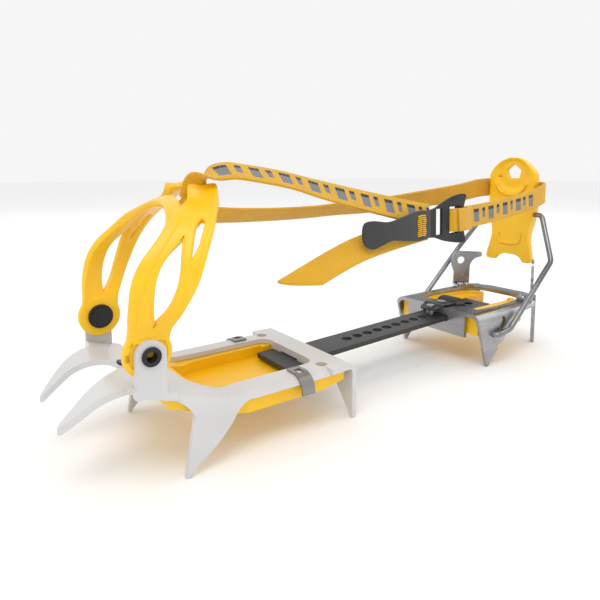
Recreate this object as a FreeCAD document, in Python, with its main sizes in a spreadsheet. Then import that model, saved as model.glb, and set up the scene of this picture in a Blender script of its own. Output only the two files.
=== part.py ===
import FreeCAD, Part
import math
import os
import Sketcher

# A step-in crampon with a plastic toe cradle, a wire heel bail and an ankle strap.
# Frame: +Z up, X across the width, Y along the length with the toe points at -Y.
# Lengths are measured from the toe pivot line and the ground under the points; every
# node is then moved back by toe_to_origin so that the origin is under the middle.

os.makedirs("parts", exist_ok=True)
doc = FreeCAD.newDocument("crampon")
sheet = doc.addObject("Spreadsheet::Sheet", "dims")

DRIVING = {
    "toe_to_origin": 150.7,       # toe pivot line to the part's origin
    # sheet steel
    "plate_thick": 2.8,
    "bend_radius": 8.0,
    # front plate
    "front_top": 31.3,            # top face above the point tips
    "front_half": 41.5,
    "crease_place": 38.0,
    "toe_slope": 18.5,
    "brow_place": 2.0,            # where the toe points start to curve down
    "brow_radius": 26.0,
    "point_droop": 42.0,
    "front_rear": 115.6,
    "opening_half": 25.5,
    "opening_front": 24.0,
    "opening_rear": 98.0,
    # toe pivots
    "pivot_height": 59.7,
    "ear_half": 6.75,
    "shank_radius": 3.2,
    "running_gap": 0.06,
    "rivet_bore": 2.35,
    "arm_thick": 4.0,
    "washer_radius": 6.3,
    "arm_inner": 34.4,
    # linking bar
    "link_width": 22.0,
    "link_thick": 3.0,
    "link_pitch": 9.0,
    "link_hole": 3.3,
    "link_holes": 15.0,
    "link_first": 143.9,
    "link_height": 28.6,          # top face at the first hole
    "link_slope": 1.9,
    "link_end": 281.0,
    # heel plate
    "heel_top": 37.7,
    "heel_front": 230.0,
    "heel_wall": 38.0,
    "post_tilt": 30.0,
    "small_rivet": 1.6,
    "pin_place": 224.9,
    # bail and lever
    "wire_radius": 1.95,
    "bail_place": 245.3,
    "bail_height": 22.5,
    "bail_half": 42.5,
    "lever_place": 326.0,
    "lever_height": 101.0,
    # strap
    "strap_width": 15.0,
    "strap_thick": 1.6,
    "buckle_place": 199.5,
    "buckle_pitch": 2.0,
    "buckle_turn": 3.0,
}
for row, (alias, number) in enumerate(DRIVING.items(), start=1):
    cell = "B%d" % row
    sheet.set("A%d" % row, alias)
    sheet.set(cell, str(number))
    sheet.setAlias(cell, alias)
doc.recompute()


def dim(alias):
    return float(sheet.get(alias))


ORIGIN_SHIFT = FreeCAD.Vector(0, -dim("toe_to_origin"), 0)
X_AXIS = FreeCAD.Vector(1, 0, 0)
Y_AXIS = FreeCAD.Vector(0, 1, 0)
Z_AXIS = FreeCAD.Vector(0, 0, 1)
subparts = []


# ---------------------------------------------------------------- helpers

def vec(x, y, z):
    return FreeCAD.Vector(x, y, z)


PLANES = {
    "XY": lambda a, b: vec(a, b, 0),
    "YZ": lambda a, b: vec(0, a, b),
    "XZ": lambda a, b: vec(a, 0, b),
}


def face_on(plane, points):
    """A closed outline; a point given as (mid, end) pairs draws an arc through mid."""
    place = PLANES[plane]
    edges = []
    here = place(*points[0])
    first = here
    for item in points[1:]:
        if isinstance(item[0], tuple):
            mid = place(*item[0])
            there = place(*item[1])
            edges.append(Part.Arc(here, mid, there).toShape())
        else:
            there = place(*item)
            edges.append(Part.LineSegment(here, there).toShape())
        here = there
    if here.distanceToPoint(first) > 1e-6:
        edges.append(Part.LineSegment(here, first).toShape())
    return Part.Face(Part.Wire(edges))


def prism(plane, points, start, end):
    """An outline pushed along its plane's normal from start to end."""
    normal = {"XY": Z_AXIS, "YZ": X_AXIS, "XZ": Y_AXIS}[plane]
    face = face_on(plane, points)
    face.translate(normal * start)
    return face.extrude(normal * (end - start))


def box(x0, x1, y0, y1, z0, z1):
    return Part.makeBox(x1 - x0, y1 - y0, z1 - z0, vec(x0, y0, z0))


def rod_x(radius, x0, x1, y, z):
    return Part.makeCylinder(radius, x1 - x0, vec(x0, y, z), X_AXIS)


def mirrored(shape):
    return shape.mirror(vec(0, 0, 0), X_AXIS)


def both_sides(shape):
    return shape.fuse(mirrored(shape))


def mirror_points(points):
    """Close a half outline, given from front to back at x > 0, with its mirror image."""
    return points + [(-x, y) for x, y in reversed(points)]


def add_shape(name, shape):
    """A sub-part whose shape is worked out from the sheet's values."""
    solid = shape.removeSplitter()
    if solid.ShapeType == "Compound" and len(solid.Solids) == 1:
        solid = solid.Solids[0]
    feature = doc.addObject("Part::Feature", name)
    feature.Label = name
    feature.Shape = solid
    feature.Placement = FreeCAD.Placement(ORIGIN_SHIFT, FreeCAD.Rotation()) * solid.Placement
    subparts.append(feature)
    return feature


def bound(kind, name, **expressions):
    """A Part primitive whose sizes are bound to the sheet."""
    thing = doc.addObject(kind, name)
    for prop, expression in expressions.items():
        thing.setExpression(prop, expression)
    return thing


def origin_plane(body, role):
    return next(f for f in body.Origin.OriginFeatures if f.Role == role)


def sketch_on(body, name, role):
    sketch = body.newObject("Sketcher::SketchObject", name)
    sketch.AttachmentSupport = [(origin_plane(body, role), "")]
    sketch.MapMode = "FlatFace"
    return sketch


def sketch_box(sketch, x0, x1, y0, y1):
    """A rectangle whose four sides are set by expressions measured from the origin."""
    corners = [vec(-1, -1, 0), vec(1, -1, 0), vec(1, 1, 0), vec(-1, 1, 0)]
    first = sketch.GeometryCount
    for index in range(4):
        sketch.addGeometry(Part.LineSegment(corners[index], corners[(index + 1) % 4]))
    for index in range(4):
        sketch.addConstraint(
            Sketcher.Constraint("Coincident", first + index, 2, first + (index + 1) % 4, 1))
    for index, direction in enumerate(("Horizontal", "Vertical", "Horizontal", "Vertical")):
        sketch.addConstraint(Sketcher.Constraint(direction, first + index))
    corner_sizes = (("DistanceX", first, 1, x0), ("DistanceX", first, 2, x1),
                    ("DistanceY", first, 1, y0), ("DistanceY", first + 2, 1, y1))
    for kind, line, end, expression in corner_sizes:
        value = -1.0 if end == 1 and line == first else 1.0
        number = sketch.addConstraint(Sketcher.Constraint(kind, -1, 1, line, end, value))
        sketch.setExpression("Constraints[%d]" % number, expression)


def sketch_circle(sketch, x, y, radius):
    """A circle whose centre and radius are set by expressions."""
    circle = sketch.addGeometry(Part.Circle(vec(1, 1, 0), Z_AXIS, 1))
    sizes = (("DistanceX", (-1, 1, circle, 3), x), ("DistanceY", (-1, 1, circle, 3), y))
    for kind, ends, expression in sizes:
        number = sketch.addConstraint(Sketcher.Constraint(kind, *ends, 1.0))
        sketch.setExpression("Constraints[%d]" % number, expression)
    number = sketch.addConstraint(Sketcher.Constraint("Radius", circle, 1.0))
    sketch.setExpression("Constraints[%d]" % number, radius)


# ---------------------------------------------------------------- toe profile

THICK = dim("plate_thick")
TOP = dim("front_top")
CREASE = dim("crease_place")
SLOPE = math.radians(dim("toe_slope"))


def slope_top(y):
    """Height of the front plate's top face where it slopes up to the toe."""
    return TOP + math.tan(SLOPE) * max(0.0, CREASE - y)


def brow_point(angle, drop=0.0):
    """A point of the arc that turns the toe down, drop below the top face."""
    start_y = dim("brow_place")
    radius = dim("brow_radius")
    centre_y = start_y - radius * math.sin(SLOPE)
    centre_z = slope_top(start_y) - radius * math.cos(SLOPE)
    reach = radius - drop
    return (centre_y + reach * math.sin(angle), centre_z + reach * math.cos(angle))


# ---------------------------------------------------------------- front plate

def sheet_channel(half, top, y0, y1, depth):
    """Sheet with both long sides rolled down: an inverted U pushed along Y."""
    radius = dim("bend_radius")
    inner = radius - THICK
    turn = math.sqrt(0.5)
    corner = half - radius
    outer_mid = (corner + radius * turn, top - radius + radius * turn)
    inner_mid = (corner + inner * turn, top - radius + inner * turn)
    points = [
        (-corner, top), (corner, top), (outer_mid, (half, top - radius)),
        (half, top - depth), (half - THICK, top - depth), (half - THICK, top - radius),
        (inner_mid, (corner, top - THICK)), (-corner, top - THICK),
        ((-inner_mid[0], inner_mid[1]), (-half + THICK, top - radius)),
        (-half + THICK, top - depth), (-half, top - depth), (-half, top - radius),
        ((-outer_mid[0], outer_mid[1]), (-corner, top)),
    ]
    return prism("XZ", points, y0, y1)


def front_skin():
    """The bent sheet before it is cut to its outlines."""
    half = dim("front_half")
    rear = dim("front_rear")
    flat = sheet_channel(half, TOP, CREASE - 20, rear - dim("bend_radius"), TOP + 2.0)
    ramp = sheet_channel(half, TOP, CREASE - 46, CREASE + 20, TOP + 12.0)
    bend_line = vec(0, CREASE, TOP)
    ramp.rotate(bend_line, X_AXIS, -dim("toe_slope"))
    behind_mitre = box(-80, 80, CREASE, CREASE + 200, -100, 200)
    behind_mitre.rotate(bend_line, X_AXIS, -dim("toe_slope") / 2)
    flat = flat.common(behind_mitre)
    ramp = ramp.cut(behind_mitre)
    return flat.fuse(ramp)


def side_keep():
    """Side silhouette of the plate edge and the big side point, toe end first."""
    roll = TOP - 3.6
    return [
        (dim("ear_half"), slope_top(0) + 20), (dim("ear_half"), slope_top(7) - THICK - 0.4),
        ((14.0, slope_top(14) - THICK - 1.8), (19.3, 28.0)), (14.6, 0.6), (15.6, 0.0),
        (20.8, 5.6), ((32.0, 13.6), (39.0, 21.5)), ((44.0, 26.6), (51.5, roll)),
        (200.0, roll), (200.0, slope_top(0) + 20),
    ]


def toe_points():
    """Ribbon for the two front points, cut to their outline seen from above."""
    droop = math.radians(dim("point_droop"))
    start = 12.0
    mid = (SLOPE - droop) / 2
    reach = 15.0
    tip_run = vec(0, -math.cos(droop), -math.sin(droop)) * reach
    end_top = brow_point(-droop)
    end_low = brow_point(-droop, THICK)
    profile = [
        (start, slope_top(start)), brow_point(SLOPE),
        (brow_point(mid), end_top), (end_top[0] + tip_run.y, end_top[1] + tip_run.z),
        (end_low[0] + tip_run.y, end_low[1] + tip_run.z), end_low,
        (brow_point(mid, THICK), brow_point(SLOPE, THICK)),
        (start - THICK * math.sin(SLOPE), slope_top(start) - THICK * math.cos(SLOPE)),
    ]
    half = dim("front_half")
    ribbon = prism("YZ", profile, -half, half)
    ear = dim("ear_half")
    outline = [
        (0, -2.0), ((5.5, -3.2), (10.0, -8.0)), ((15.0, -18.0), (17.6, -32.0)),
        (19.4, -33.4), (21.4, -32.0), ((28.5, -21.0), (32.5, -9.5)),
        ((34.0, -6.2), (37.0, -ear)), (half, -ear), (half, 12.0), (0, 12.0),
    ]
    right = prism("XY", outline, 0, 80)
    return ribbon.common(both_sides(right))


def plate_openings():
    """The large window, the eyelet hole and the small holes of the front plate."""
    half = dim("opening_half")
    front = dim("opening_front")
    rear = dim("opening_rear")
    window = prism("XY", [
        (-9, front), ((0, front - 1.4), (9, front)), ((19, front + 3), (half, front + 22)),
        (half, rear - 7), ((half - 2, rear - 2), (half - 7, rear)),
        (-half + 7, rear), ((-half + 2, rear - 2), (-half, rear - 7)),
        (-half, front + 22), ((-19, front + 3), (-9, front)),
    ], TOP - 8, slope_top(0) + 9)
    eyelet = Part.makeCylinder(3.0, 20, vec(0, 0, -10), Z_AXIS)
    eyelet.rotate(vec(0, 0, 0), X_AXIS, -dim("toe_slope"))
    eyelet.translate(vec(0, 1.5, slope_top(1.5)))
    corner = Part.makeCylinder(3.2, 20, vec(31.0, 98.5, TOP - 10), Z_AXIS)
    return window.fuse([eyelet, corner, mirrored(corner)])


def rear_rank():
    """Rolled rear edge carrying the two rear points and the hook lip's crossbar."""
    rear = dim("front_rear")
    half = dim("front_half")
    radius = 5.0
    turn = math.sqrt(0.5)
    inner = radius - THICK
    centre = (rear - radius, TOP - radius)
    profile = [
        (dim("opening_rear"), TOP), (centre[0], TOP),
        ((centre[0] + radius * turn, centre[1] + radius * turn), (rear, centre[1])),
        (rear, -1), (rear - THICK, -1), (rear - THICK, centre[1]),
        ((centre[0] + inner * turn, centre[1] + inner * turn), (centre[0], TOP - THICK)),
        (dim("opening_rear"), TOP - THICK),
    ]
    strip = prism("YZ", profile, -half, half)
    floor = TOP - THICK + 0.1
    keep = [
        (-half, TOP + 1), (half, TOP + 1), (half, 18), (41.0, 0.4), (40.0, 0.0), (38.9, 0.8),
        (24.0, 19.5), ((20.5, 24.0), (15.5, floor)), (-15.5, floor),
        ((-20.5, 24.0), (-24.0, 19.5)), (-38.9, 0.8), (-40.0, 0.0), (-41.0, 0.4), (-half, 18),
    ]
    strip = strip.common(prism("XZ", keep, 0, 200))
    plan = [(half, 90), (half, 103), ((half - 0.6, 109), (half - 1.0, rear + 1))]
    return strip.common(prism("XY", mirror_points_arc(plan), -5, 60))


def mirror_points_arc(points):
    """Mirror a half outline that may hold arcs, joining the two halves."""
    ends = [item[1] if isinstance(item[0], tuple) else item for item in points]
    back = []
    for index in range(len(points) - 1, 0, -1):
        item = points[index]
        start = ends[index - 1]
        if isinstance(item[0], tuple):
            back.append(((-item[0][0], item[0][1]), (-start[0], start[1])))
        else:
            back.append((-start[0], start[1]))
    bridge = [] if ends[-1][0] == 0 else [(-ends[-1][0], ends[-1][1])]
    return points + bridge + back


def hook_lip():
    """Lip turned down at the window's rear edge, with the slot for the bar's neck."""
    rear = dim("opening_rear")
    lip = box(-19, 19, rear, rear + THICK, 20.2, TOP - 0.5)
    slot = box(-8.6, 8.6, rear - 1, rear + THICK + 1, 22.4, 27.6)
    return lip.cut(slot)


def ear(side):
    """Upright tab that holds one toe pivot."""
    half = dim("front_half")
    wide = dim("ear_half")
    height = dim("pivot_height")
    foot = slope_top(0) - 5.2
    outline = [(wide, foot), (wide, height), ((0, height + wide), (-wide, height)),
               (-wide, foot + 1.4)]
    tab = prism("YZ", outline, half - THICK, half)
    ramp_foot = box(half - 9, half, -wide, wide, foot - 3, slope_top(0) + 5)
    slab = [(-20, slope_top(-20)), (20, slope_top(20)),
            (20, slope_top(20) - THICK / math.cos(SLOPE)),
            (-20, slope_top(-20) - THICK / math.cos(SLOPE))]
    foot_slab = prism("YZ", slab, half - 9, half).common(ramp_foot)
    tab = tab.cut(prism("YZ", [(-20, slope_top(-20) - THICK / math.cos(SLOPE)),
                               (20, slope_top(20) - THICK / math.cos(SLOPE)),
                               (20, 0), (-20, 0)], 0, 60))
    bore = rod_x(dim("shank_radius"), 0, 60, 0, height)
    shape = tab.fuse(foot_slab).cut(bore)
    return shape if side > 0 else mirrored(shape)


def make_front_plate():
    half = dim("front_half")
    skin = front_skin()
    waste_frame = prism("YZ", [(-60, -60), (260, -60), (260, 120), (-60, 120)], 33.4, 60)
    silhouette = prism("YZ", side_keep(), 33, 61)
    waste = waste_frame.cut(silhouette)
    front_waste = box(-60, 60, -60, dim("ear_half") - 0.01, -20, 120)
    skin = skin.cut([both_sides(waste), front_waste])
    plan_end = box(-60, 60, dim("front_rear") - 5.0, 200, -20, 120)
    skin = skin.cut(plan_end)
    body = skin.fuse([toe_points(), rear_rank(), ear(1), ear(-1)])
    body = body.cut(plate_openings())
    body = body.fuse(hook_lip())
    bore = rod_x(dim("shank_radius"), -half - 1, half + 1, 0, dim("pivot_height"))
    body = body.cut(bore)
    add_shape("front_plate", body)
    return body


# ---------------------------------------------------------------- front snow plate

def clear_of(shape, sheet, gap):
    """Cut a moulding back from the sheet it fills, leaving a small gap."""
    steps = [vec(0, 0, 0), vec(gap, 0, 0), vec(-gap, 0, 0), vec(0, 0, -gap)]
    for step in steps:
        moved = sheet.copy()
        moved.translate(step)
        shape = shape.cut(moved)
    return max(shape.Solids, key=lambda solid: solid.Volume)


def make_front_snow_plate(sheet):
    """Moulded plate that fills the front frame from below and sheds packed snow."""
    gap = 0.25
    low = 20.0
    profile = [
        (dim("front_rear") - 6.5, TOP - THICK - gap), (CREASE + 0.6, TOP - THICK - gap),
        (8.0, slope_top(8.0) - THICK * 1.06 - gap), (8.0, slope_top(8.0) - 8.0),
        (CREASE - 2, low + 2.5), (50, low), (95, low), (dim("front_rear") - 6.5, low + 2.5),
    ]
    slab = prism("YZ", profile, -37.6, 37.6)
    well = prism("XY", [(-15, 30), (15, 30), (21, 46), (22, 92), (-22, 92), (-21, 46)], 22.2, 60)
    bay = box(-19.6, 19.6, 82, 112, 22.2, 60)
    add_shape("front_snow_plate", clear_of(slab.cut([well, bay]), sheet, gap))


def make_snow_clips():
    """Sprung steel clips that hold the snow plate on each side band."""
    half = dim("front_half")
    spring = 1.0
    gap = 0.15
    outer = half + gap
    bend = dim("bend_radius")
    centre = (half - bend, TOP - bend)
    turn = math.sqrt(0.5)
    near = (bend + gap) * turn
    far = (bend + gap + spring) * turn
    profile = [
        (28.0, TOP + gap), (28.0, TOP + gap + spring), (centre[0], TOP + gap + spring),
        ((centre[0] + far, centre[1] + far), (outer + spring, centre[1])),
        (outer + spring, 22.4), (outer, 22.4),
        (outer, centre[1]), ((centre[0] + near, centre[1] + near), (centre[0], TOP + gap)),
    ]
    clip = prism("XZ", profile, 77.5, 85.5)
    slot = box(31, 36, 79.6, 83.4, TOP - 1, TOP + 4)
    clip = clip.cut(slot)
    add_shape("snow_clip_right", clip)
    add_shape("snow_clip_left", mirrored(clip))


# ---------------------------------------------------------------- toe pivots

def make_eyelet():
    ring = Part.makeCylinder(4.1, 0.8, vec(0, 0, 0.05), Z_AXIS)
    barrel = Part.makeCylinder(2.9, 3.6, vec(0, 0, -3.0), Z_AXIS)
    hole = Part.makeCylinder(1.9, 10, vec(0, 0, -5), Z_AXIS)
    eyelet = ring.fuse(barrel).cut(hole)
    eyelet.rotate(vec(0, 0, 0), X_AXIS, -dim("toe_slope"))
    eyelet.translate(vec(0, 1.5, slope_top(1.5)))
    add_shape("front_eyelet", eyelet)


def make_toe_rivets():
    """Hollow rivets: a shank through ear and arm with a rolled rim outside."""
    for name, side in (("toe_rivet_right", 1), ("toe_rivet_left", -1)):
        shank = bound("Part::Cylinder", name + "_shank", Radius="dims.shank_radius",
                      Height="dims.front_half - dims.arm_inner + 1.4")
        rim = bound("Part::Cylinder", name + "_rim", Radius="dims.shank_radius + 0.95",
                    Height="1.1")
        bore = bound("Part::Cylinder", name + "_bore", Radius="dims.rivet_bore", Height="40")
        place_x = {"shank": dim("arm_inner") - 0.3, "rim": dim("front_half") + 0.02,
                   "bore": dim("arm_inner") + 1.0}
        for part, key in ((shank, "shank"), (rim, "rim"), (bore, "bore")):
            turn = FreeCAD.Rotation(Y_AXIS, 90 * side)
            where = vec(side * place_x[key], 0, dim("pivot_height"))
            part.Placement = FreeCAD.Placement(where, turn)
        solid = doc.addObject("Part::Fuse", name + "_solid")
        solid.Base = shank
        solid.Tool = rim
        rivet = doc.addObject("Part::Cut", name)
        rivet.Base = solid
        rivet.Tool = bore
        rivet.Label = name
        rivet.Placement = FreeCAD.Placement(ORIGIN_SHIFT, FreeCAD.Rotation())
        subparts.append(rivet)


def make_toe_washers():
    """Dark caps over the rivets' inner ends."""
    inner = dim("arm_inner")
    for name, side in (("toe_washer_right", 1), ("toe_washer_left", -1)):
        disc = rod_x(dim("washer_radius"), inner - 1.5, inner - 0.3, 0, dim("pivot_height"))
        dome = rod_x(dim("washer_radius") - 1.4, inner - 2.0, inner - 1.5, 0, dim("pivot_height"))
        washer = disc.fuse(dome)
        add_shape(name, washer if side > 0 else mirrored(washer))


# ---------------------------------------------------------------- toe cradle

CRADLE_ARM = [
    # front edge, then rear edge, of the middle of the sheet, from the pivot upwards
    ((36.4, -9.6, 59), (36.4, 9.6, 59)), ((36.4, -8.6, 65), (36.4, 9.4, 65)),
    ((36.5, -7.9, 70), (37.8, 9.6, 70)), ((36.6, -7.4, 76), (41.2, 11.6, 76)),
    ((36.5, -6.4, 82), (43.8, 14.2, 82)), ((36.2, -5.0, 88), (45.2, 17.2, 88)),
    ((35.6, -2.6, 94), (45.2, 20.4, 94)), ((34.6, 1.0, 100), (44.2, 23.6, 100)),
    ((31.8, 7.4, 106.4), (42.0, 27.2, 106.4)), ((27.6, 14.0, 113.0), (38.6, 31.0, 112.2)),
    ((21.0, 22.4, 118.6), (34.3, 34.4, 116.8)), ((15.8, 28.4, 122.0), (29.4, 38.0, 121.2)),
    ((13.4, 30.0, 126.0), (23.6, 41.2, 126.0)), ((13.0, 30.0, 129.6), (17.4, 43.6, 129.8)),
]
CRADLE_CROWN = [
    # front edge, then rear edge, of the band over the toe, from one arm to the middle
    ((32.6, 9.6, 107.0), (34.0, 22.0, 109.6)), ((26.2, 13.6, 112.2), (27.0, 22.0, 114.6)),
    ((18.2, 17.0, 116.4), (18.4, 24.6, 119.4)), ((9.0, 19.5, 119.4), (9.0, 26.4, 122.2)),
    ((0.0, 20.3, 120.4), (0.0, 27.0, 123.2)),
]


def sheet_loft(stations, thick):
    """Bent sheet of even thickness through pairs of edge points."""
    pairs = [(vec(*front), vec(*rear)) for front, rear in stations]
    wires = []
    for index, (front, rear) in enumerate(pairs):
        before = pairs[max(index - 1, 0)]
        after = pairs[min(index + 1, len(pairs) - 1)]
        along = (after[0] + after[1] - before[0] - before[1]).normalize()
        out = (rear - front).cross(along).normalize() * (thick / 2)
        corners = [front + out, rear + out, rear - out, front - out]
        wires.append(Part.makePolygon(corners + [corners[0]]))
    return Part.makeLoft(wires, True, True)


def leaf_cut(points, direction):
    """Cutter with a smooth closed outline, pushed through the sheet along direction."""
    aim = vec(*direction).normalize()
    centre = vec(*points[0])
    flat = [vec(*p) - aim * ((vec(*p) - centre).dot(aim) + 9) for p in points]
    curve = Part.BSplineCurve()
    curve.interpolate(Points=flat, PeriodicFlag=True)
    return Part.Face(Part.Wire(curve.toShape())).extrude(aim * 18)


def make_toe_cradle():
    """Two arms that lean back over the toe, a band between them and strap ears on top."""
    height = dim("pivot_height")
    inner = dim("arm_inner")
    wall = dim("arm_thick")
    disc = rod_x(10.6, inner, inner + wall, 0, height)
    arm = sheet_loft(CRADLE_ARM, wall).fuse(disc)
    leaf = leaf_cut([
        (39.0, 2.0, 74.0), (39.4, 0.8, 82.0), (39.2, 2.6, 90.0), (38.6, 6.4, 98.0),
        (37.2, 12.6, 105.0), (39.6, 16.0, 101.0), (41.0, 12.4, 92.0), (41.6, 8.6, 82.0),
        (40.6, 5.4, 75.6),
    ], (0.93, -0.36, 0.05))
    narrow = leaf_cut([
        (42.2, 19.4, 100.6), (39.6, 20.8, 107.4), (35.6, 24.6, 112.8), (35.0, 27.4, 114.4),
        (36.4, 28.0, 113.2), (39.6, 25.8, 108.6), (42.4, 22.4, 102.4),
    ], (0.80, -0.45, 0.40))
    slot = leaf_cut([
        (15.4, 31.2, 126.6), (16.6, 36.6, 127.0), (19.0, 41.6, 126.6), (20.0, 40.6, 125.0),
        (17.8, 35.4, 125.4), (16.4, 31.2, 124.8),
    ], (0.88, -0.42, 0.22))
    arm = arm.cut([leaf, narrow, slot])
    bore = rod_x(dim("shank_radius") + dim("running_gap"), 0, 60, 0, height)
    half_band = sheet_loft(CRADLE_CROWN, wall - 0.6)
    side = arm.fuse(half_band).cut(bore)
    half_space = box(0, 80, -60, 120, 0, 200)
    add_shape("toe_cradle", both_sides(side.common(half_space)))


def make_linking_bar():
    """Flat bar with a row of holes; its T-shaped end hooks under the front plate."""
    body = doc.addObject("PartDesign::Body", "linking_bar")
    body.Label = "linking_bar"
    blank = sketch_on(body, "link_blank", "XY_Plane")
    sketch_box(blank, "-dims.link_width / 2", "dims.link_width / 2",
               "dims.opening_rear + 4.4 - dims.link_first", "dims.link_end - dims.link_first")
    pad = body.newObject("PartDesign::Pad", "link_pad")
    pad.Profile = blank
    pad.setExpression("Length", "dims.link_thick")
    pad.Reversed = True
    neck = sketch_on(body, "link_neck", "XY_Plane")
    sketch_box(neck, "-7.6", "7.6", "dims.opening_rear - 5 - dims.link_first",
               "dims.opening_rear + 6 - dims.link_first")
    neck_pad = body.newObject("PartDesign::Pad", "link_neck_pad")
    neck_pad.Profile = neck
    neck_pad.setExpression("Length", "dims.link_thick")
    neck_pad.Reversed = True
    head = sketch_on(body, "link_head", "XY_Plane")
    sketch_box(head, "-16", "16", "dims.opening_rear - 12 - dims.link_first",
               "dims.opening_rear - 0.8 - dims.link_first")
    head_pad = body.newObject("PartDesign::Pad", "link_head_pad")
    head_pad.Profile = head
    head_pad.setExpression("Length", "dims.link_thick")
    head_pad.Reversed = True
    hole = sketch_on(body, "link_hole_sketch", "XY_Plane")
    sketch_circle(hole, "0", "0", "dims.link_hole")
    doc.recompute()
    pocket = body.newObject("PartDesign::Pocket", "link_hole_pocket")
    pocket.Profile = hole
    pocket.setExpression("Length", "dims.link_thick + 2")
    pocket.Midplane = True
    pocket.setExpression("Length", "2 * dims.link_thick + 4")
    row = body.newObject("PartDesign::LinearPattern", "link_row")
    row.Originals = [pocket]
    row.Direction = (hole, ["V_Axis"])
    row.setExpression("Length", "dims.link_pitch * (dims.link_holes - 1)")
    row.setExpression("Occurrences", "dims.link_holes")
    body.Tip = row
    tilt = FreeCAD.Rotation(X_AXIS, dim("link_slope"))
    place = vec(0, dim("link_first"), dim("link_height")) + ORIGIN_SHIFT
    body.Placement = FreeCAD.Placement(place, tilt)
    subparts.append(body)


# ---------------------------------------------------------------- heel plate

def heel_outline(inset=0.0):
    front = dim("heel_front")
    return [
        (dim("heel_wall") - inset, front + inset),
        ((39.2 - inset, front + 34), (36.6 - inset, front + 68)),
        ((29.5 - inset, front + 83), (15 - inset * 0.4, front + 91.5 - inset)),
    ]


def make_heel_plate():
    """Bent sheet: side walls with the front heel points, a slotted front lip and rear points."""
    front = dim("heel_front")
    wall = dim("heel_wall")
    top = dim("heel_top")
    plan = prism("XY", mirror_points_arc(heel_outline()), -5, top + 5)
    skin = sheet_channel(wall + 1.2, top, front, front + 92, top + 3)
    side = [
        (front, top + 1), (front, top - 6), ((front + 4.4, 17), (front + 9.4, 0.8)),
        (front + 10.6, 0.0), (front + 15, 5), (front + 21, 10.6), (front + 21, 13.6),
        (front + 27, 15), (front + 28.4, 17.6), (front + 34, 22),
        ((front + 38, 30), (front + 47, top - 4.6)), (front + 95, top - 4.6),
        (front + 95, top + 1),
    ]
    waste = prism("YZ", [(front - 5, -5), (front + 100, -5), (front + 100, top + 3),
                         (front - 5, top + 3)], 31.0, 60).cut(prism("YZ", side, 30, 61))
    skin = skin.cut(both_sides(waste)).common(plan)
    window = [(27.0, front + 13.5), ((28.4, front + 36), (26.2, front + 64)),
              ((22.0, front + 74), (10.0, front + 80))]
    skin = skin.cut(prism("XY", mirror_points_arc(window), top - 10, top + 5))
    lip = box(-26, 26, front, front + THICK, 19.5, top - 1.0)
    lip_slot = box(-11.5, 11.5, front - 1, front + 4, 27.6, 32.6)
    lip = lip.cut(lip_slot)
    skin = skin.fuse([lip, rear_point(1), rear_point(-1)])
    slot = [(front + 23.0, 25.0), ((front + 24.6, 22.2), (front + 26.6, 24.4)),
            (front + 29.4, 30.0), ((front + 28.6, 33.2), (front + 25.6, 31.4))]
    skin = skin.cut(both_sides(prism("YZ", slot, 30, 60)))
    gap = dim("wire_radius") + dim("running_gap")
    bore = rod_x(gap, -60, 60, dim("bail_place"), dim("bail_height"))
    holes = [bore, Part.makeCylinder(2.0, 12, vec(0, front + 7, top - 6), Z_AXIS)]
    for place in post_rivet_places():
        hole = Part.makeCylinder(dim("small_rivet"), 12, place - vec(0, 0, 6), Z_AXIS)
        holes.extend([on_corner(hole, 1), on_corner(hole, -1)])
    skin = skin.cut(holes)
    add_shape("heel_plate", skin)
    return skin


def on_corner(shape, side):
    """Turn a piece made along Y to lie on a rear corner of the heel plate."""
    moved = shape.copy()
    moved.rotate(vec(0, 0, 0), Z_AXIS, dim("post_tilt"))
    moved.translate(vec(34.4, dim("heel_front") + 74, dim("heel_top")))
    return moved if side > 0 else mirrored(moved)


def rear_point(side):
    """Point turned down from a rear corner; local Y runs along the corner."""
    outline = [(1.5, 0), (17.5, 0), (18.6, -12), (16.4, 0.5 - dim("heel_top")),
               (14.8, -dim("heel_top")), (13.4, 0.8 - dim("heel_top")), (6.5, -18)]
    blade = prism("YZ", outline, -THICK, 0)
    blade.translate(vec(1.2, 0, 0))
    return on_corner(blade, side)


def post_rivet_places():
    return [vec(-8.0, -3.0, 0), vec(-8.0, 3.0, 0)]


def make_heel_posts():
    """Side posts that locate the boot heel, riveted on the rear corners."""
    stock = 2.0
    small = dim("small_rivet")
    outline = [
        (-7.0, 3.0), (-6.6, 12.0), ((-8.6, 22.0), (-7.6, 26.0)), ((-5.6, 29.2), (-1.5, 29.5)),
        (16.5, 28.6), ((18.0, 26.4), (16.0, 24.2)), ((9.0, 20.5), (7.2, 14.5)), (7.0, 3.0),
        (7.0, 0), (-7.0, 0),
    ]
    post = prism("YZ", outline, -1.0 - stock, -1.0)
    post = post.cut(rod_x(3.2, -20, 20, -0.6, 21.6))
    foot = box(-1.0 - stock - 9.5, -1.0, -7.0, 7.0, 0, stock)
    rivets = []
    for place in post_rivet_places():
        foot = foot.cut(Part.makeCylinder(small, 20, place - vec(0, 0, 10), Z_AXIS))
        shank = Part.makeCylinder(small, THICK + stock, place - vec(0, 0, THICK), Z_AXIS)
        head = Part.makeSphere(3.4, place + vec(0, 0, stock - 1.6), Z_AXIS, 0, 90, 360)
        head = head.common(Part.makeCylinder(3.2, 3, place + vec(0, 0, stock), Z_AXIS))
        rivets.append(shank.fuse(head))
    post = post.fuse(foot)
    for name, side in (("right", 1), ("left", -1)):
        add_shape("heel_post_" + name, on_corner(post, side))
        pair = Part.makeCompound([on_corner(rivet, side) for rivet in rivets])
        add_shape("post_rivets_" + name, pair)


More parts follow.
